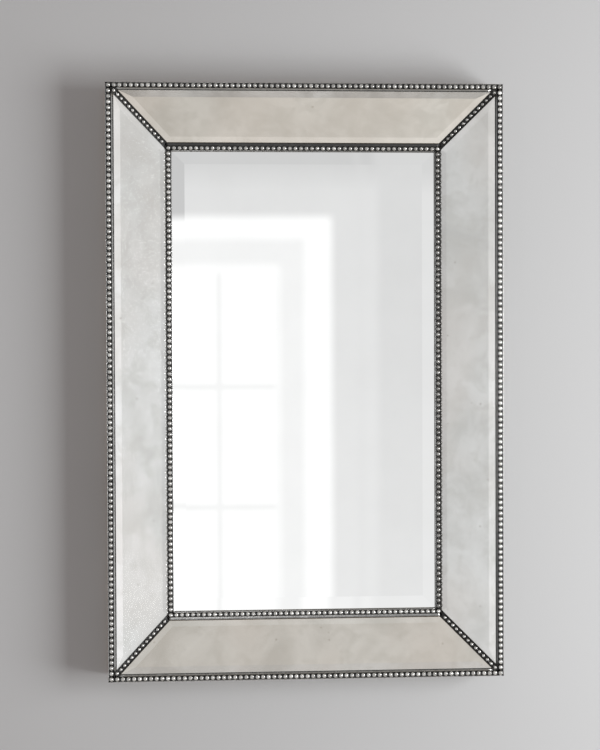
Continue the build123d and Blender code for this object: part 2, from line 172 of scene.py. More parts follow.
# ---- Materials
def silver_leaf(name, lift):
    """Burnished silver leaf over dark clay, with black glaze left in the recesses."""
    material, tree, output = tree_of(name)
    coords = object_coords(tree)
    # relief is the leaf share: black glaze in the hollows, and painted light and shade set side by side
    relief = put(tree, "Attribute", attribute_name="relief").outputs["Fac"]
    tone = put(tree, "Attribute", attribute_name="tone").outputs["Fac"]
    fine = noise(tree, coords, 900.0, 5.0, 0.6)
    broad = noise(tree, coords, 70.0, 3.0, 0.55)
    worn = sum_of(tree, "ADD", sum_of(tree, "MULTIPLY", fine, 0.28),
                  sum_of(tree, "MULTIPLY", broad, 0.20))
    level = sum_of(tree, "ADD", sum_of(tree, "ADD", relief, worn), lift - 0.24)
    mask = sum_of(tree, "ADD", level, sum_of(tree, "MULTIPLY", tone, 0.07))
    shade = ramp(tree, mask, [
        (0.0, (0.010, 0.010, 0.010)),
        (0.20, (0.036, 0.035, 0.034)),
        (0.45, (0.180, 0.177, 0.173)),
        (0.70, (0.430, 0.427, 0.420)),
        (1.0, (0.860, 0.858, 0.850)),
    ])
    surface(tree, output, {
        "Base Color": shade,
        "Metallic": spread(tree, mask, 0.05, 0.45, 0.2, 1.0),
        "Roughness": spread(tree, sum_of(tree, "ADD", mask, sum_of(tree, "MULTIPLY", fine, 0.25)),
                            0.1, 1.0, 0.42, 0.13),
        "Normal": bump(tree, fine, 0.00006, 0.6,
                       bump(tree, noise(tree, coords, 420.0, 2.0, 0.5), 0.0003, 0.6)),
    })
    return material


def antiqued_glass():
    """Mirror glass with clouded, faintly foxed silvering, and pale ground edges that also paint a
    highlight along them.
    """
    material, tree, output = tree_of("antiqued_mirror_glass")
    coords = object_coords(tree)
    cloud = noise(tree, coords, 11.0, 5.0, 0.55, 0.6)
    patch = noise(tree, coords, 34.0, 3.0, 0.5, 0.4)
    grain = noise(tree, coords, 420.0, 4.0, 0.7)
    tint = noise(tree, object_coords(tree, (1.0, 1.0, 0.7)), 7.0, 2.0, 0.5)
    base = ramp(tree, cloud, [
        (0.34, (0.70, 0.698, 0.682)),
        (0.50, (0.80, 0.80, 0.79)),
        (0.66, (0.862, 0.866, 0.860)),
    ])
    base = mixed(tree, spread(tree, patch, 0.44, 0.68, 0.0, 0.50), base, colour(0.68, 0.676, 0.65))
    base = mixed(tree, spread(tree, tint, 0.38, 0.66, 0.0, 0.38), base, colour(0.80, 0.755, 0.72))
    spots = put(tree, "TexVoronoi", {"Vector": coords, "Scale": 85.0, "Randomness": 1.0}).outputs
    chance = put(tree, "SeparateColor", {"Color": spots["Color"]}).outputs["Red"]
    near = spread(tree, sum_of(tree, "ADD", spots["Distance"],
                               sum_of(tree, "MULTIPLY", grain, 0.25)), 0.22, 0.34, 1.0, 0.0)
    fox = sum_of(tree, "MULTIPLY", near, spread(tree, chance, 0.93, 0.96))
    base = mixed(tree, sum_of(tree, "MULTIPLY", fox, 0.28), base, colour(0.36, 0.33, 0.28))
    normal = put(tree, "TexCoord").outputs["Normal"]
    facing = put(tree, "SeparateXYZ", {"Vector": normal}).outputs["Y"]
    # Faces turned well away from the front are pale: ground glass, and a painted highlight along the
    # edges
    edge = spread(tree, facing, -0.66, -0.55)
    base = mixed(tree, edge, base, colour(0.68, 0.73, 0.705))
    surface(tree, output, {
        "Base Color": base,
        "Metallic": spread(tree, edge, 0.0, 1.0, 0.86, 0.55),
        "Roughness": spread(tree, sum_of(tree, "ADD", patch, cloud), 0.7, 1.35, 0.15, 0.26),
        "Coat Weight": 0.35,
        "Coat Roughness": 0.03,
        "Coat IOR": 1.5,
        "Normal": bump(tree, patch, 0.0002, 0.06),
    })
    return material


def clear_mirror():
    """Bright mirror glass, faintly green, with a dusty film."""
    material, tree, output = tree_of("clear_mirror_glass")
    coords = object_coords(tree)
    film = noise(tree, coords, 16.0, 6.0, 0.6)
    surface(tree, output, {
        "Base Color": mixed(tree, spread(tree, film, 0.3, 0.8), colour(0.935, 0.94, 0.938),
                            colour(0.91, 0.915, 0.913)),
        "Metallic": 1.0,
        "Roughness": spread(tree, film, 0.45, 0.9, 0.0, 0.02),
    })
    return material


def fibreboard(name, stops, scale):
    """Pressed wood fibre: fine matted fibres, flecks and slight blotches."""
    material, tree, output = tree_of(name)
    coords = object_coords(tree)
    fibre = noise(tree, object_coords(tree, (1.0, 1.0, 3.0)), scale * 9, 6.0, 0.7, 1.2)
    cross = noise(tree, object_coords(tree, (3.0, 1.0, 1.0)), scale * 9, 6.0, 0.7, 1.2)
    blotch = noise(tree, coords, scale, 4.0, 0.5)
    flecks = put(tree, "TexVoronoi", {"Vector": coords, "Scale": scale * 22}).outputs["Distance"]
    matted = sum_of(tree, "MAXIMUM", fibre, cross)
    level = sum_of(tree, "ADD", sum_of(tree, "MULTIPLY", matted, 0.78),
                   sum_of(tree, "MULTIPLY", blotch, 0.22))
    base = mixed(tree, spread(tree, flecks, 0.0, 0.16, 0.35, 0.0), ramp(tree, level, stops),
                 colour(*[0.45 * v for v in stops[0][1]]))
    surface(tree, output, {
        "Base Color": base,
        "Roughness": spread(tree, matted, 0.35, 0.75, 0.82, 0.62),
        "Normal": bump(tree, matted, 0.0003, 0.5),
    })
    return material


def painted_side():
    """Frame sides: worn silver paint over black outside, bare board at the back."""
    material, tree, output = tree_of("silvered_frame_side")
    coords = object_coords(tree)
    streak = noise(tree, object_coords(tree, (5.0, 34.0, 5.0)), 3.0, 5.0, 0.55, 0.4)
    speck = noise(tree, coords, 260.0, 5.0, 0.65)
    level = sum_of(tree, "ADD", sum_of(tree, "MULTIPLY", streak, 0.7),
                   sum_of(tree, "MULTIPLY", speck, 0.3))
    paint = ramp(tree, level, [
        (0.28, (0.13, 0.125, 0.118)),
        (0.42, (0.31, 0.305, 0.295)),
        (0.60, (0.46, 0.455, 0.44)),
        (0.80, (0.58, 0.575, 0.56)),
    ])
    normal = put(tree, "SeparateXYZ", {"Vector": put(tree, "TexCoord").outputs["Normal"]})
    back = spread(tree, normal.outputs["Y"], 0.6, 0.8)
    fibre = noise(tree, coords, 320.0, 6.0, 0.7, 1.0)
    board = ramp(tree, fibre, [(0.3, (0.26, 0.175, 0.10)), (0.7, (0.44, 0.32, 0.205))])
    surface(tree, output, {
        "Base Color": mixed(tree, back, paint, board),
        "Metallic": spread(tree, back, 0.0, 1.0, 0.85, 0.0),
        "Roughness": sum_of(tree, "ADD", spread(tree, level, 0.35, 0.7, 0.55, 0.34),
                            sum_of(tree, "MULTIPLY", back, 0.3)),
        "Normal": bump(tree, level, 0.0002, 0.35),
    })
    return material


def dark_frame():
    """Inner frame: black-brown lacquer with rubbed, lighter patches."""
    material, tree, output = tree_of("dark_lacquered_frame")
    coords = object_coords(tree)
    rub = noise(tree, coords, 140.0, 5.0, 0.6)
    surface(tree, output, {
        "Base Color": ramp(tree, rub, [(0.35, (0.018, 0.015, 0.012)), (0.75, (0.075, 0.065, 0.055))]),
        "Roughness": spread(tree, rub, 0.3, 0.8, 0.34, 0.6),
        "Normal": bump(tree, rub, 0.0002, 0.4),
    })
    return material


def plated_steel(name, dark, light, rough_low, rough_high):
    """Plated steel with passivation clouds, fine scratches and dull spots."""
    material, tree, output = tree_of(name)
    coords = object_coords(tree)
    cloud = noise(tree, coords, 170.0, 4.0, 0.55)
    scratch = noise(tree, object_coords(tree, (18.0, 18.0, 1.0)), 160.0, 5.0, 0.7)
    level = sum_of(tree, "ADD", sum_of(tree, "MULTIPLY", cloud, 0.6),
                   sum_of(tree, "MULTIPLY", scratch, 0.4))
    surface(tree, output, {
        "Base Color": ramp(tree, level, [(0.32, dark), (0.66, light)]),
        "Metallic": 1.0,
        "Roughness": spread(tree, level, 0.3, 0.7, rough_high, rough_low),
        "Normal": bump(tree, scratch, 0.00005, 0.5),
    })
    return material


def matt_rubber(name, dark, light, scale, depth):
    """Soft matt rubber, foam or mastic with fine pores."""
    material, tree, output = tree_of(name)
    coords = object_coords(tree)
    pores = put(tree, "TexVoronoi", {"Vector": coords, "Scale": scale}).outputs["Distance"]
    dust = noise(tree, coords, scale * 0.2, 5.0, 0.6)
    surface(tree, output, {
        "Base Color": ramp(tree, dust, [(0.3, dark), (0.7, light)]),
        "Roughness": spread(tree, dust, 0.3, 0.8, 0.72, 0.92),
        "Normal": bump(tree, pores, depth, 0.6),
    })
    return material


leaf = silver_leaf("antique_silver_leaf", 0.0)
leaf_dark = silver_leaf("antique_silver_leaf_dark", 0.04)
panel_glass = antiqued_glass()
mirror_glass = clear_mirror()
side_finish = painted_side()
inner_finish = dark_frame()
bare_board = fibreboard("bare_fibreboard",
                        [(0.35, (0.34, 0.235, 0.14)), (0.65, (0.50, 0.37, 0.24))], 30.0)
hardboard = fibreboard("hardboard_back",
                       [(0.35, (0.19, 0.115, 0.065)), (0.65, (0.33, 0.215, 0.13))], 22.0)
zinc = plated_steel("zinc_plated_steel", (0.42, 0.415, 0.40), (0.70, 0.695, 0.68), 0.24, 0.46)
black_steel = plated_steel("black_screw_steel", (0.035, 0.034, 0.033), (0.11, 0.105, 0.10), 0.30, 0.5)
bumper_rubber = matt_rubber("bumper_rubber", (0.055, 0.052, 0.048), (0.10, 0.096, 0.09), 900.0, 0.0001)
foam = matt_rubber("cell_foam", (0.03, 0.03, 0.03), (0.07, 0.07, 0.068), 1400.0, 0.0003)
mastic = matt_rubber("mirror_mastic", (0.50, 0.48, 0.43), (0.66, 0.64, 0.59), 260.0, 0.0002)


# ---- Geometry helpers
def add_piece(name, verts, faces, material, replaced=(), attributes=()):
    mesh = bpy.data.meshes.new(name)
    mesh.from_pydata([v * MM for v in verts], [], faces)
    for key, values in dict(attributes).items():
        mesh.attributes.new(key, "FLOAT", "POINT").data.foreach_set("value", values)
    mesh.polygons.foreach_set("use_smooth", [True] * len(faces))
    mesh.validate()
    piece = bpy.data.objects.new(name, mesh)
    bpy.context.scene.collection.objects.link(piece)
    mesh.materials.append(material)
    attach(piece, BODY)
    if replaced:
        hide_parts(*replaced)
    return piece


def side_point(side, along, inset, depth):
    """A place on a side, in millimetres, from its distance along, its inset and its depth."""
    in_x, in_z = SIDES[side]
    half = (HEIGHT if in_z else WIDTH) / 2
    out = inset - half
    return Vector((out * in_x + along * in_z, -depth, out * in_z - along * in_x))


def valley_point(corner, along, across, height):
    """A place by a mitre valley: along it, across it and out from it."""
    sign_x, sign_z = CORNERS[corner]
    plan = (OUTER_TRIM + along / VALLEY) * ROOT2 + height * SLOPE / VALLEY
    depth = OUTER_LAND - along * SLOPE / VALLEY + height * ROOT2 / VALLEY
    return Vector((sign_x * (WIDTH / 2 - (plan + across) / ROOT2), -depth,
                   sign_z * (HEIGHT / 2 - (plan - across) / ROOT2)))


def rounded(points, steps=4):
    """An outline given as (a, b, radius, leaf share with painted shade) with its corners rounded."""
    out = []
    count = len(points)
    for index, (a, b, radius, leaf_and_shade_share) in enumerate(points):
        here = Vector((a, b))
        before = Vector(points[index - 1][:2]) - here
        after = Vector(points[(index + 1) % count][:2]) - here
        if radius <= 0:
            out.append((a, b, leaf_and_shade_share))
            continue
        reach = min(radius, before.length * 0.45, after.length * 0.45)
        start, end = here + before.normalized() * reach, here + after.normalized() * reach
        for step in range(steps + 1):
            t = step / steps
            place = start.lerp(here, t).lerp(here.lerp(end, t), t)
            out.append((place.x, place.y, leaf_and_shade_share))
    return out


def smooth_step(low, high, value):
    t = min(1.0, max(0.0, (value - low) / (high - low)))
    return t * t * (3 - 2 * t)


# A bead has a neck on both sides and is a little longer than it is wide
BEAD_SIDES = 20
BEAD_NECK = 1.1
BEAD_STRETCH = 1.1


class Build:
    """Vertices, faces and the two attributes of one trim: its leaf share, with patina and painted shade,
    and a random tone.
    """

    def __init__(self, place):
        self.place = place
        self.verts, self.faces, self.relief, self.tone = [], [], [], []

    def ring(self, points, reliefs, tone):
        start = len(self.verts)
        for (along, across, height), relief in zip(points, reliefs):
            self.verts.append(self.place(along, across, height))
            self.relief.append(relief)
            self.tone.append(tone)
        return list(range(start, len(self.verts)))

    def join(self, ring_a, ring_b):
        count = len(ring_a)
        for i in range(count):
            j = (i + 1) % count
            self.faces.append((ring_a[i], ring_a[j], ring_b[j], ring_b[i]))

    def tube(self, rings):
        for ring_a, ring_b in zip(rings, rings[1:]):
            self.join(ring_a, ring_b)
        self.faces.append(tuple(reversed(rings[0])))
        self.faces.append(tuple(rings[-1]))

    def strip(self, outline, ends, stations, wobble):
        """A moulding: its outline runs between two ends, which may differ from point to point."""
        reliefs = [leaf_and_shade_share for _, _, leaf_and_shade_share in outline]
        rings = []
        for station in range(stations + 1):
            share = station / stations
            ring = []
            for (across, height, _), (low, high) in zip(outline, ends):
                shift = wobble * math.sin(station * 1.7 + across) if height > 0.2 else 0.0
                ring.append((low + (high - low) * share, across, height + shift))
            rings.append(self.ring(ring, reliefs, random.uniform(-0.3, 0.3)))
        self.tube(rings)

    def beads(self, centres, across, height, radius, floor, pitch, shine_and_painted_shade, open_ends=False):
        """A string of beads on a thin neck, a little uneven as cast and leafed beads are."""
        angles = [math.radians(a) for a in (-72, -54, -36, -18, 0, 18, 36, 54, 72)]
        rings = []

        def turn(along, reach, tone, centre_across, centre_height, pinch):
            points, reliefs = [], []
            for step in range(BEAD_SIDES):
                angle = 2 * math.pi * step / BEAD_SIDES
                up = reach * math.sin(angle)
                points.append((along, centre_across + reach * math.cos(angle), centre_height + up))
                rise = (centre_height + up - floor) / (height + radius - floor)
                # The bead's leaf share: black glaze in the hollows, scaled by the side's painted light
                # and shade
                reliefs.append(0.80 * shine_and_painted_shade * smooth_step(-0.1, 0.6, rise) * pinch)
            rings.append(self.ring(points, reliefs, tone))

        last = len(centres) - 1
        for index, centre in enumerate(centres):
            size = radius * random.uniform(0.965, 1.0)
            tone = random.uniform(-1, 1)
            aside = across + random.uniform(-0.07, 0.07)
            lift = height + radius - size
            centre += random.uniform(-0.08, 0.08)
            reach = pitch / 2 - 0.02
            end_reach = pitch * 0.55
            length = size * BEAD_STRETCH
            if index == 0 and not open_ends:
                turn(centre - length * 0.995, size * 0.1, tone, aside, lift, 0.5)
            else:
                turn(centre - (reach if index else end_reach), BEAD_NECK, tone, aside, lift, 0.12)
                turn(centre - length * 0.97, BEAD_NECK, tone, aside, lift, 0.15)
            for angle in angles:
                pinch = 0.45 + 0.55 * math.cos(angle)
                turn(centre + length * math.sin(angle), size * math.cos(angle), tone, aside, lift, pinch)
            if index == last and not open_ends:
                turn(centre + length * 0.995, size * 0.1, tone, aside, lift, 0.5)
            else:
                turn(centre + length * 0.97, BEAD_NECK, tone, aside, lift, 0.15)
                turn(centre + (reach if index < last else end_reach), BEAD_NECK, tone, aside, lift, 0.12)
        self.tube(rings)


# ---- Beaded trims
BEAD = 3.7
beaded_pieces = []
# Leaf share of each outer trim's lip, fillet and inner edge, set side by side as painted light and
# shade; the right side's are painted dark
OUTER_FILLET_LEAF_AND_SHADE = {"top": (0.6, 0.7, 0.5), "bottom": (0.6, 0.65, 0.5), "left": (0.55, 0.6, 0.45),
                     "right": (0.0, 0.3, 0.25)}
outer_outlines = {}
for side, (lip_leaf_and_shade, fillet_leaf_and_shade, edge_leaf_and_shade) in OUTER_FILLET_LEAF_AND_SHADE.items():
    outer_outlines[side] = rounded([
        (0.0, 0.0, 0, 0.3), (0.0, 2.6, 0.45, 0.6), (0.95, 2.6, 0.35, 0.6), (1.5, 1.35, 0.3, 0.1),
        (3.0, 1.15, 0.4, 0.02), (7.0, 1.15, 0.4, 0.02), (8.45, 1.35, 0.3, 0.0),
        (8.95, 3.0, 0.3, lip_leaf_and_shade), (10.0, 3.22, 0, fillet_leaf_and_shade), (11.6, 3.4, 0.35, edge_leaf_and_shade),
        (11.6, 0.0, 0, 0.0),
    ])
# Leaf share of each inner trim's fillet and rim, set side by side as painted light and shade: the bottom
# painted lightest, the right rim and the side fillets darkest
INNER_FILLET_LEAF_AND_SHADE = {"top": 0.2, "bottom": 0.6, "left": 0.15, "right": 0.12}
INNER_RIM_LEAF_AND_SHADE = {"top": 0.6, "bottom": 0.85, "left": 0.75, "right": 0.35}
inner_outlines = {}
for side in SIDES:
    rim_leaf_and_shade = INNER_RIM_LEAF_AND_SHADE[side]
    start = FRAME_WIDTH - (INNER_TRIM_RAIL if side in ("top", "bottom") else INNER_TRIM_SIDE)
    inner_outlines[side] = rounded([
        (FRAME_WIDTH, 0.0, 0, rim_leaf_and_shade), (start, 0.0, 0, 0.0),
        (start, 1.6, 0.35, INNER_FILLET_LEAF_AND_SHADE[side] * 0.7),
        (INNER_ROW - BEAD - 0.25, 1.6, 0.3, INNER_FILLET_LEAF_AND_SHADE[side]),
        (INNER_ROW - BEAD + 0.25, 1.0, 0.3, 0.05),
        (INNER_ROW - 2, 0.9, 0.4, 0.0), (INNER_ROW + 2, 0.9, 0.4, 0.0),
        (INNER_ROW + BEAD - 0.2, 1.1, 0.3, 0.05), (FRAME_WIDTH - 0.45, 2.0, 0.2, rim_leaf_and_shade),
        (FRAME_WIDTH, 2.0, 0.2, rim_leaf_and_shade),
    ])

# Bead row of each kind: height of its axis, its radius, height of its trough, spacings on a rail
# and spacings on a side
BEAD_ROWS = {"outer": (2.2, BEAD, 1.5, 70, 106), "inner": (1.5, 3.5, 0.9, 49, 85)}
# How much leaf the beads of each row carry, scaled side by side as painted light and shade: the outer
# right beads painted lighter, the inner right ones darker
BEAD_LEAF_AND_SIDE_SHADE = {"outer": {"top": 0.88, "bottom": 1.0, "left": 0.97, "right": 1.15},
              "inner": {"top": 0.92, "bottom": 1.06, "left": 1.0, "right": 0.74}}


def beaded_side(kind, side, land, outline, row, neighbour_start, notch):
    rail = side in ("top", "bottom")
    axis, radius, floor, rail_intervals, side_intervals = BEAD_ROWS[kind]
    intervals = rail_intervals if rail else side_intervals
    half = (WIDTH if rail else HEIGHT) / 2
    build = Build(lambda along, across, height: side_point(side, along, across, land + height))
    ends = []
    for across, _, _ in outline:
        reach = half - max(across, neighbour_start)
        if notch and across > OUTER_ROW + BEAD:
            reach = half - across - (MITRE_HALF + GAP) * ROOT2
        ends.append((-reach, reach))
    stations = round(half / 4)
    build.strip(outline, ends, stations, 0.03)
    pitch = 2 * (half - row) / intervals
    first = 0 if rail else 1
    centres = [pitch * (i - intervals / 2) for i in range(first, intervals + 1 - first)]
    build.beads(centres, row, axis, radius, floor, pitch, BEAD_LEAF_AND_SIDE_SHADE[kind][side], not rail)
    name = f"{kind}_trim_{side}"
    beaded_pieces.append(add_piece(
        name + "_beaded", build.verts, build.faces, leaf, [name],
        attributes={"relief": build.relief, "tone": build.tone}))


for side in SIDES:
    rail = side in ("top", "bottom")
    beaded_side("outer", side, OUTER_LAND, outer_outlines[side], OUTER_ROW, 0.0, True)
    other_start = FRAME_WIDTH - (INNER_TRIM_SIDE if rail else INNER_TRIM_RAIL)
    beaded_side("inner", side, INNER_LAND, inner_outlines[side], INNER_ROW, other_start, False)

seat_rise = MITRE_HALF * SLOPE / VALLEY
# The raised flats beside the mitre beads are given little leaf, which paints them dark as painted shade;
# the trough between them holds black glaze
mitre_outline = rounded([
    (0.0, 0.0, 0, 0.0), (MITRE_HALF, seat_rise, 0, 0.0), (MITRE_HALF, 3.7, 0.3, 0.1),
    (3.3, 3.6, 0.3, 0.12), (2.8, 2.3, 0.3, 0.0), (-2.8, 2.3, 0.3, 0.0), (-3.3, 3.6, 0.3, 0.12),
    (-MITRE_HALF, 3.7, 0.3, 0.1), (-MITRE_HALF, seat_rise, 0, 0.0),
])


def along_valley(plan, height):
    """Distance along a valley at which a place has a given distance from the corner in plan."""
    return (plan - height * SLOPE / VALLEY) * VALLEY / ROOT2 - OUTER_TRIM * VALLEY


for corner in CORNERS:
    build = Build(lambda along, across, height: valley_point(corner, along, across, height))
    ends = []
    for across, height, _ in mitre_outline:
        low = MITRE_START * ROOT2 + abs(across)
        high = max((FRAME_WIDTH - INNER_TRIM_SIDE - GAP) * ROOT2 - across,
                   (FRAME_WIDTH - INNER_TRIM_RAIL - GAP) * ROOT2 + across)
        ends.append((along_valley(low, height), along_valley(high, height)))
    build.strip(mitre_outline, ends, 40, 0.03)
    centres = [MITRE_FIRST_BEAD + MITRE_PITCH * i for i in range(MITRE_BEADS)]
    build.beads(centres, 0.0, MITRE_ROW_HEIGHT, MITRE_BEAD, MITRE_TROUGH, MITRE_PITCH,
                MITRE_LEAF_AND_CORNER_SHADE[corner])
    name = f"mitre_trim_{corner}"
    beaded_pieces.append(add_piece(
        name + "_beaded", build.verts, build.faces, leaf_dark, [name],
        attributes={"relief": build.relief, "tone": build.tone}))

# ---- Foam strips behind the mirror: soft edges, and pressed a little unevenly along their length
FOAM_HALF = CUSHION_WIDTH / 2
foam_outline = rounded([
    (-FOAM_HALF, 0.0, 0.85, 0), (-FOAM_HALF, CUSHION_THICKNESS, 0.95, 0), (-2.5, 1.97, 0, 0),
    (2.5, 1.97, 0, 0), (FOAM_HALF, CUSHION_THICKNESS, 0.95, 0), (FOAM_HALF, 0.0, 0.85, 0),
    (0.0, 0.0, 0, 0),
])
foam_build = Build(None)
foam_x = (MIRROR_WIDTH - CUSHION_WIDTH) / 2
foam_z = (MIRROR_HEIGHT - CUSHION_WIDTH) / 2
foam_runs = [(sign * foam_x, 0.0, MIRROR_HEIGHT / 2, True) for sign in (-1, 1)]
cross_half = MIRROR_WIDTH / 2 - CUSHION_WIDTH - CUSHION_GAP
foam_runs += [(0.0, place, cross_half, False) for place in (-foam_z, 0.0, foam_z)]
for mid_x, mid_z, half, upright_run in foam_runs:
    def foam_place(along, across, height, mid_x=mid_x, mid_z=mid_z, upright_run=upright_run):
        x, z = (across, along) if upright_run else (along, across)
        return Vector((mid_x + x, -BOARD_FRONT - height, mid_z + z))

    foam_build.place = foam_place
    foam_build.strip(foam_outline, [(-half, half)] * len(foam_outline), round(half / 3), -0.02)
foam_piece = add_piece("mirror_cushion_foam", foam_build.verts, foam_build.faces, foam,
                       ["mirror_cushion"])

# ---- Moulded rubber bumpers have rounded rims
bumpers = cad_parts["wall_bumpers"]
merge = bumpers.modifiers.new("merged_edges", "WELD")
merge.merge_threshold = 0.00001
rim = bumpers.modifiers.new("rounded_rims", "BEVEL")
rim.width = 0.0012
rim.segments = 3
rim.limit_method = "ANGLE"
rim.angle_limit = math.radians(50)

# ---- Carried-over nodes and their finishes
finishes = {
    "side_wall": side_finish, "slope_board": bare_board, "inner_frame": inner_finish,
    "corner_blocks": bare_board, "centre_mirror": mirror_glass, "mirror_cushion": foam,
    "side_glass_mastic": mastic, "side_glass": panel_glass, "backing_board": hardboard,
    "backing_screws": black_steel, "hanger_plate": zinc, "hanger_ring": zinc,
    "hanger_screws": zinc, "wall_bumpers": bumper_rubber,
}
for name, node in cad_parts.items():
    fits = [key for key in finishes if name.startswith(key)]
    if fits:
        node.data.materials.clear()
        node.data.materials.append(finishes[max(fits, key=len)])

# ---- Stage: wall, floor and cards that only reflections see
def stage_plane(name, corners, material):
    mesh = bpy.data.meshes.new(name)
    mesh.from_pydata(corners, [], [tuple(range(len(corners)))])
    plane = bpy.data.objects.new(name, mesh)
    bpy.context.scene.collection.objects.link(plane)
    mesh.materials.append(material)
    return plane


wall_material, tree, output = tree_of("painted_wall")
coords = object_coords(tree)
roller = noise(tree, coords, 260.0, 4.0, 0.6)
wall_shader = put(tree, "BsdfPrincipled", {
    "Base Color": mixed(tree, noise(tree, coords, 2.0, 2.0, 0.5), colour(0.662, 0.661, 0.660),
                        colour(0.676, 0.675, 0.674)),
    "Roughness": 0.85,
    "Normal": bump(tree, roller, 0.0003, 0.25),
})
behind = put(tree, "NewGeometry").outputs["Backfacing"]
path = put(tree, "LightPath")
# Rays this short, in metres, start in the gap behind the back and pass through the wall
GAP_RAY = 0.03
from_gap = sum_of(tree, "MULTIPLY", sum_of(tree, "LESS_THAN", path.outputs["Ray Length"], GAP_RAY),
                  sum_of(tree, "SUBTRACT", 1.0, path.outputs["Is Camera Ray"]))
see_through = put(tree, "BsdfTransparent")
blend = put(tree, "MixShader", {0: sum_of(tree, "MAXIMUM", behind, from_gap),
                                1: wall_shader.outputs[0], 2: see_through.outputs[0]})
tree.links.new(blend.outputs[0], output.inputs["Surface"])
FLOOR_Z = -1.6
WALL_HALF = 2.6
WALL_TOP = 1.9
# Half a millimetre behind the ends of the bumpers
WALL_Y = 0.0005
wall = stage_plane("wall", [(-WALL_HALF, WALL_Y, FLOOR_Z), (WALL_HALF, WALL_Y, FLOOR_Z),
                            (WALL_HALF, WALL_Y, WALL_TOP), (-WALL_HALF, WALL_Y, WALL_TOP)],
                   wall_material)
wall.visible_shadow = False

floor_material, tree, output = tree_of("pale_floor")
coords = object_coords(tree)
grain = noise(tree, object_coords(tree, (1.0, 12.0, 1.0)), 9.0, 5.0, 0.6, 0.4)
surface(tree, output, {
    "Base Color": mixed(tree, grain, colour(0.70, 0.685, 0.66), colour(0.77, 0.755, 0.73)),
    "Roughness": 0.7,
})
FLOOR_HALF = 8
floor = stage_plane("floor", [(x * FLOOR_HALF, y * FLOOR_HALF, FLOOR_Z)
                              for x, y in ((-1, -1), (1, -1), (1, 1), (-1, 1))], floor_material)
floor.visible_glossy = False
floor.visible_diffuse = False

# ---- World: plain soft fill, and a room-like gradient for what reflects it
world = bpy.data.worlds.new("studio")
bpy.context.scene.world = world
world.use_nodes = True
tree = world.node_tree
tree.nodes.clear()
world_out = tree.nodes.new("ShaderNodeOutputWorld")
direction = put(tree, "SeparateXYZ", {"Vector": put(tree, "TexCoord").outputs["Generated"]})
sideways = ramp(tree, spread_flat(tree, direction.outputs["X"], -1.0, 1.0), [
    (0.0, (0.73, 0.725, 0.725)), (0.05, (0.72, 0.72, 0.72)), (0.126, (0.81, 0.815, 0.81)),
    (0.21, (0.83, 0.835, 0.835)), (0.29, (0.985, 0.985, 0.985)), (0.5, (0.80, 0.80, 0.79)),
    (0.70, (0.92, 0.92, 0.92)), (0.787, (1.19, 1.19, 1.20)), (0.85, (0.88, 0.88, 0.88)),
    (0.92, (0.845, 0.85, 0.845)), (1.0, (0.71, 0.715, 0.72))])
overhead = ramp(tree, spread_flat(tree, direction.outputs["Z"], -0.5, 0.5), [
    (0.0, (1.12, 1.125, 1.13)), (0.12, (1.12, 1.125, 1.13)), (0.28, (1.025, 1.025, 1.025)),
    (0.48, (1.0, 1.0, 1.0)), (0.65, (0.872, 0.872, 0.868)), (0.74, (0.92, 0.92, 0.92)),
    (0.86, (1.10, 1.10, 1.10)), (1.0, (1.10, 1.10, 1.10))])
sideways = mixed(tree, 1.0, sideways, overhead, "MULTIPLY")
upright = ramp(tree, spread_flat(tree, direction.outputs["Z"], -1.0, 1.0), [
    (0.0, (0.82, 0.77, 0.70)), (0.025, (0.79, 0.74, 0.68)), (0.115, (0.655, 0.61, 0.55)),
    (0.19, (0.56, 0.525, 0.475)), (0.245, (0.39, 0.365, 0.335)), (0.33, (0.33, 0.31, 0.285)),
    (0.5, (0.55, 0.54, 0.52)), (0.70, (0.585, 0.55, 0.51)), (0.80, (0.64, 0.60, 0.55)),
    (0.87, (0.66, 0.62, 0.565)), (0.97, (0.73, 0.705, 0.66)), (1.0, (0.78, 0.74, 0.68))])
across_low = ramp(tree, spread_flat(tree, direction.outputs["X"], -0.5, 0.5), [
    (0.0, (1.12, 1.13, 1.14)), (0.23, (1.12, 1.13, 1.14)), (0.38, (0.97, 0.97, 0.97)),
    (0.47, (0.97, 0.97, 0.965)), (0.58, (1.07, 1.075, 1.075)), (0.69, (1.21, 1.225, 1.225)),
    (1.0, (1.23, 1.24, 1.25))])
across_high = ramp(tree, spread_flat(tree, direction.outputs["X"], -0.5, 0.5), [
    (0.0, (1.13, 1.14, 1.15)), (0.23, (1.10, 1.11, 1.12)), (0.38, (0.96, 0.96, 0.96)),
    (0.5, (0.98, 0.98, 0.98)), (0.72, (1.07, 1.07, 1.07)), (0.82, (1.0, 1.0, 0.99)),
    (1.0, (0.98, 0.98, 0.97))])
across = mixed(tree, spread(tree, direction.outputs["Z"], -0.1, 0.1), across_low, across_high)
upright = mixed(tree, 1.0, upright, across, "MULTIPLY")
lean_x = put(tree, "Math", {0: direction.outputs["X"]}, operation="ABSOLUTE").outputs[0]
lean_z = put(tree, "Math", {0: direction.outputs["Z"]}, operation="ABSOLUTE").outputs[0]
steep = spread(tree, sum_of(tree, "SUBTRACT", lean_z, sum_of(tree, "MULTIPLY", lean_x, 0.8)), 0.05, 0.25)
room = mixed(tree, steep, sideways, upright)
path = put(tree, "LightPath")
fill = put(tree, "Background", {"Color": colour(1.0, 0.93, 0.915), "Strength": 0.308})
seen = put(tree, "Background", {"Color": colour(0.80, 0.80, 0.795), "Strength": 1.0})
reflected = put(tree, "Background", {"Color": room, "Strength": 1.0})
glossy = put(tree, "MixShader", {0: path.outputs["Is Glossy Ray"], 1: fill.outputs[0],
                                 2: reflected.outputs[0]})
camera_mix = put(tree, "MixShader", {0: path.outputs["Is Camera Ray"], 1: glossy.outputs[0],
                                     2: seen.outputs[0]})
tree.links.new(camera_mix.outputs[0], world_out.inputs["Surface"])

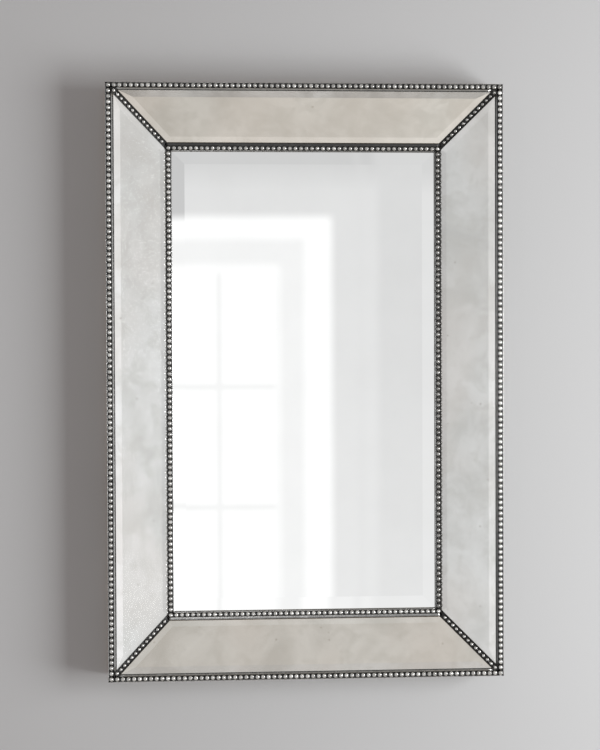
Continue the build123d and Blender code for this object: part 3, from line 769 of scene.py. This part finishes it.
# ---- Reflection card: the far side of the room with a tall window, softly out of focus
card_material, tree, output = tree_of("room_card")
place = put(tree, "SeparateXYZ", {"Vector": object_coords(tree)})
X, Z = place.outputs["X"], place.outputs["Z"]


def band(value, low, high, soft):
    """1 between two places and 0 outside them, with soft edges."""
    rise = spread(tree, value, low - soft, low + soft)
    fall = spread(tree, value, high - soft, high + soft, 1.0, 0.0)
    return sum_of(tree, "MULTIPLY", rise, fall)


def within(left, right, foot, top):
    return sum_of(tree, "MULTIPLY", band(X, left, right, SOFT), band(Z, foot, top, SOFT))


def card_layer(base, mask, shade, share=1.0):
    return mixed(tree, sum_of(tree, "MULTIPLY", mask, share), base, colour(*shade))


WINDOW_RIGHT = 1.022
WINDOW_TOP = 1.126
WINDOW_LEFT = -2.3
WINDOW_FOOT = -4.0
PANE_RIGHT = WINDOW_RIGHT - 0.383
PANE_TOP = WINDOW_TOP - 0.352
PANE_WIDTH = 0.443
PANE_HEIGHT = 0.88
SOFT = 0.05


def grey(value):
    return (value, value, value)


def into_pane(value, start, pitch):
    """Distance into the pane that a place lies in, counted from a start."""
    turns = sum_of(tree, "DIVIDE", sum_of(tree, "SUBTRACT", start, value), pitch)
    share = put(tree, "Math", {0: turns}, operation="FRACT").outputs[0]
    return sum_of(tree, "MULTIPLY", share, pitch)


card = ramp(tree, spread_flat(tree, Z, -3.3, 3.1), [
    (0.0, grey(0.96)), (0.04, grey(0.92)), (0.27, grey(0.875)), (0.43, grey(0.86)), (0.54, grey(0.84)),
    (0.64, grey(0.828)), (0.70, grey(0.82)), (0.722, grey(0.81)), (0.738, grey(0.76)),
    (0.75, grey(0.72)), (0.80, grey(0.69)), (1.0, grey(0.67))])
shade = spread(tree, Z, -2.1, 1.2, 0.35, 1.0)
card = card_layer(card, sum_of(tree, "MULTIPLY", band(X, 1.365, 2.2, 0.05), shade), grey(0.75), 0.8)
card = card_layer(card, band(X, 1.21, 1.27, 0.04), grey(0.80), 0.25)
card = card_layer(card, sum_of(tree, "MULTIPLY", band(X, -3.0, -1.1, 0.2), band(Z, 1.0, 3.8, 0.1)),
                  grey(0.61), 0.9)
card = card_layer(card, within(WINDOW_LEFT, WINDOW_RIGHT, WINDOW_FOOT, WINDOW_TOP), grey(1.12))
card = card_layer(card, within(WINDOW_LEFT, WINDOW_RIGHT - 0.199, WINDOW_FOOT, WINDOW_TOP - 0.159),
                  grey(0.985))
panes = within(WINDOW_LEFT, PANE_RIGHT, WINDOW_FOOT, PANE_TOP)
card = card_layer(card, panes, grey(1.12))
# The left bevel sees far to the left, where one whole pane stands for the rest
pane_x = into_pane(sum_of(tree, "MAXIMUM", X, -0.02), PANE_RIGHT, PANE_WIDTH)
pane_z = into_pane(Z, PANE_TOP - 0.009, PANE_HEIGHT)
glazed = sum_of(tree, "MULTIPLY", band(pane_x, 0.02, PANE_WIDTH - 0.02, 0.026),
                band(pane_z, 0.022, PANE_HEIGHT - 0.022, 0.026))
bars = sum_of(tree, "MULTIPLY", sum_of(tree, "SUBTRACT", 1.0, glazed),
              within(WINDOW_LEFT, PANE_RIGHT - 0.02, WINDOW_FOOT, PANE_TOP - 0.05))
card = card_layer(card, bars, grey(1.0))
bright = sum_of(tree, "MULTIPLY", band(pane_x, 0.06, PANE_WIDTH - 0.06, 0.02),
                band(pane_z, 0.06, PANE_HEIGHT - 0.06, 0.02))
bright = sum_of(tree, "MULTIPLY", bright, panes)
daylight = spread(tree, Z, -2.5, -0.9, 1.15, 3.2)
card = mixed(tree, bright, card, put(tree, "CombineColor", {
    "Red": daylight, "Green": daylight, "Blue": daylight}).outputs["Color"])
emit = put(tree, "Emission", {"Color": card, "Strength": 1.0})
tree.links.new(emit.outputs[0], output.inputs["Surface"])
CARD_Y = -9.0
CARD_LEFT, CARD_RIGHT = -2.4, 3.9
CARD_FOOT, CARD_TOP = -3.4, 3.55
room_card = stage_plane("room_card", [(CARD_LEFT, CARD_Y, CARD_FOOT), (CARD_RIGHT, CARD_Y, CARD_FOOT),
                                      (CARD_RIGHT, CARD_Y, CARD_TOP), (CARD_LEFT, CARD_Y, CARD_TOP)],
                        card_material)
# Placed and scaled so that the window's reflection lies as in the photograph
room_card.location = (-0.1472, 0.0, -0.1335)
room_card.scale = (0.9485, 1.0, 0.95)
room_card.visible_camera = False
room_card.visible_diffuse = False
room_card.visible_shadow = False
room_card.visible_transmission = False


# ---- Lamps
def area_lamp(name, place, target, width, height, radiance, shade):
    data = bpy.data.lights.new(name, "AREA")
    data.shape = "RECTANGLE"
    data.size, data.size_y = width, height
    data.energy = radiance * math.pi * width * height
    data.color = shade
    lamp = bpy.data.objects.new(name, data)
    lamp.location = place
    lamp.rotation_euler = (Vector(target) - Vector(place)).to_track_quat("-Z", "Y").to_euler()
    bpy.context.scene.collection.objects.link(lamp)
    return lamp


key = area_lamp("window_light", (2.14, -1.52, -0.26), (0, 0, 0), 1.3, 1.7, 9.1, (0.955, 0.985, 1.0))
key.visible_glossy = False
# Lights the beaded trims alone, for the highlights on the beads
sparkle = area_lamp("trim_light", (1.85, -1.85, 0.05), (0, 0, 0), 0.62, 0.62, 23.0, (1.0, 1.0, 1.0))
trims = bpy.data.collections.new("lit_trims")
for piece in beaded_pieces:
    trims.objects.link(piece)
sparkle.light_linking.receiver_collection = trims
area_lamp("rear_light", (-1.5, 2.6, 0.9), (0, 0, 0), 2.2, 2.2, 2.4, (1.0, 0.99, 0.97))

# ---- Camera at the photograph's viewing angle
FOCAL_PIXELS = 1669.68
camera_data = bpy.data.cameras.new("camera")
camera_data.sensor_width = 36.0
camera_data.lens = camera_data.sensor_width * FOCAL_PIXELS / IMAGE_HEIGHT
camera = bpy.data.objects.new("camera", camera_data)
camera.location = (-0.1822, -2.6139, 0.0597)
camera.rotation_euler = Euler((math.radians(88.904), math.radians(0.223),
                               math.radians(-3.8641)), "XYZ")
bpy.context.scene.collection.objects.link(camera)
bpy.context.scene.camera = camera
bpy.context.scene.view_settings.view_transform = "Standard"
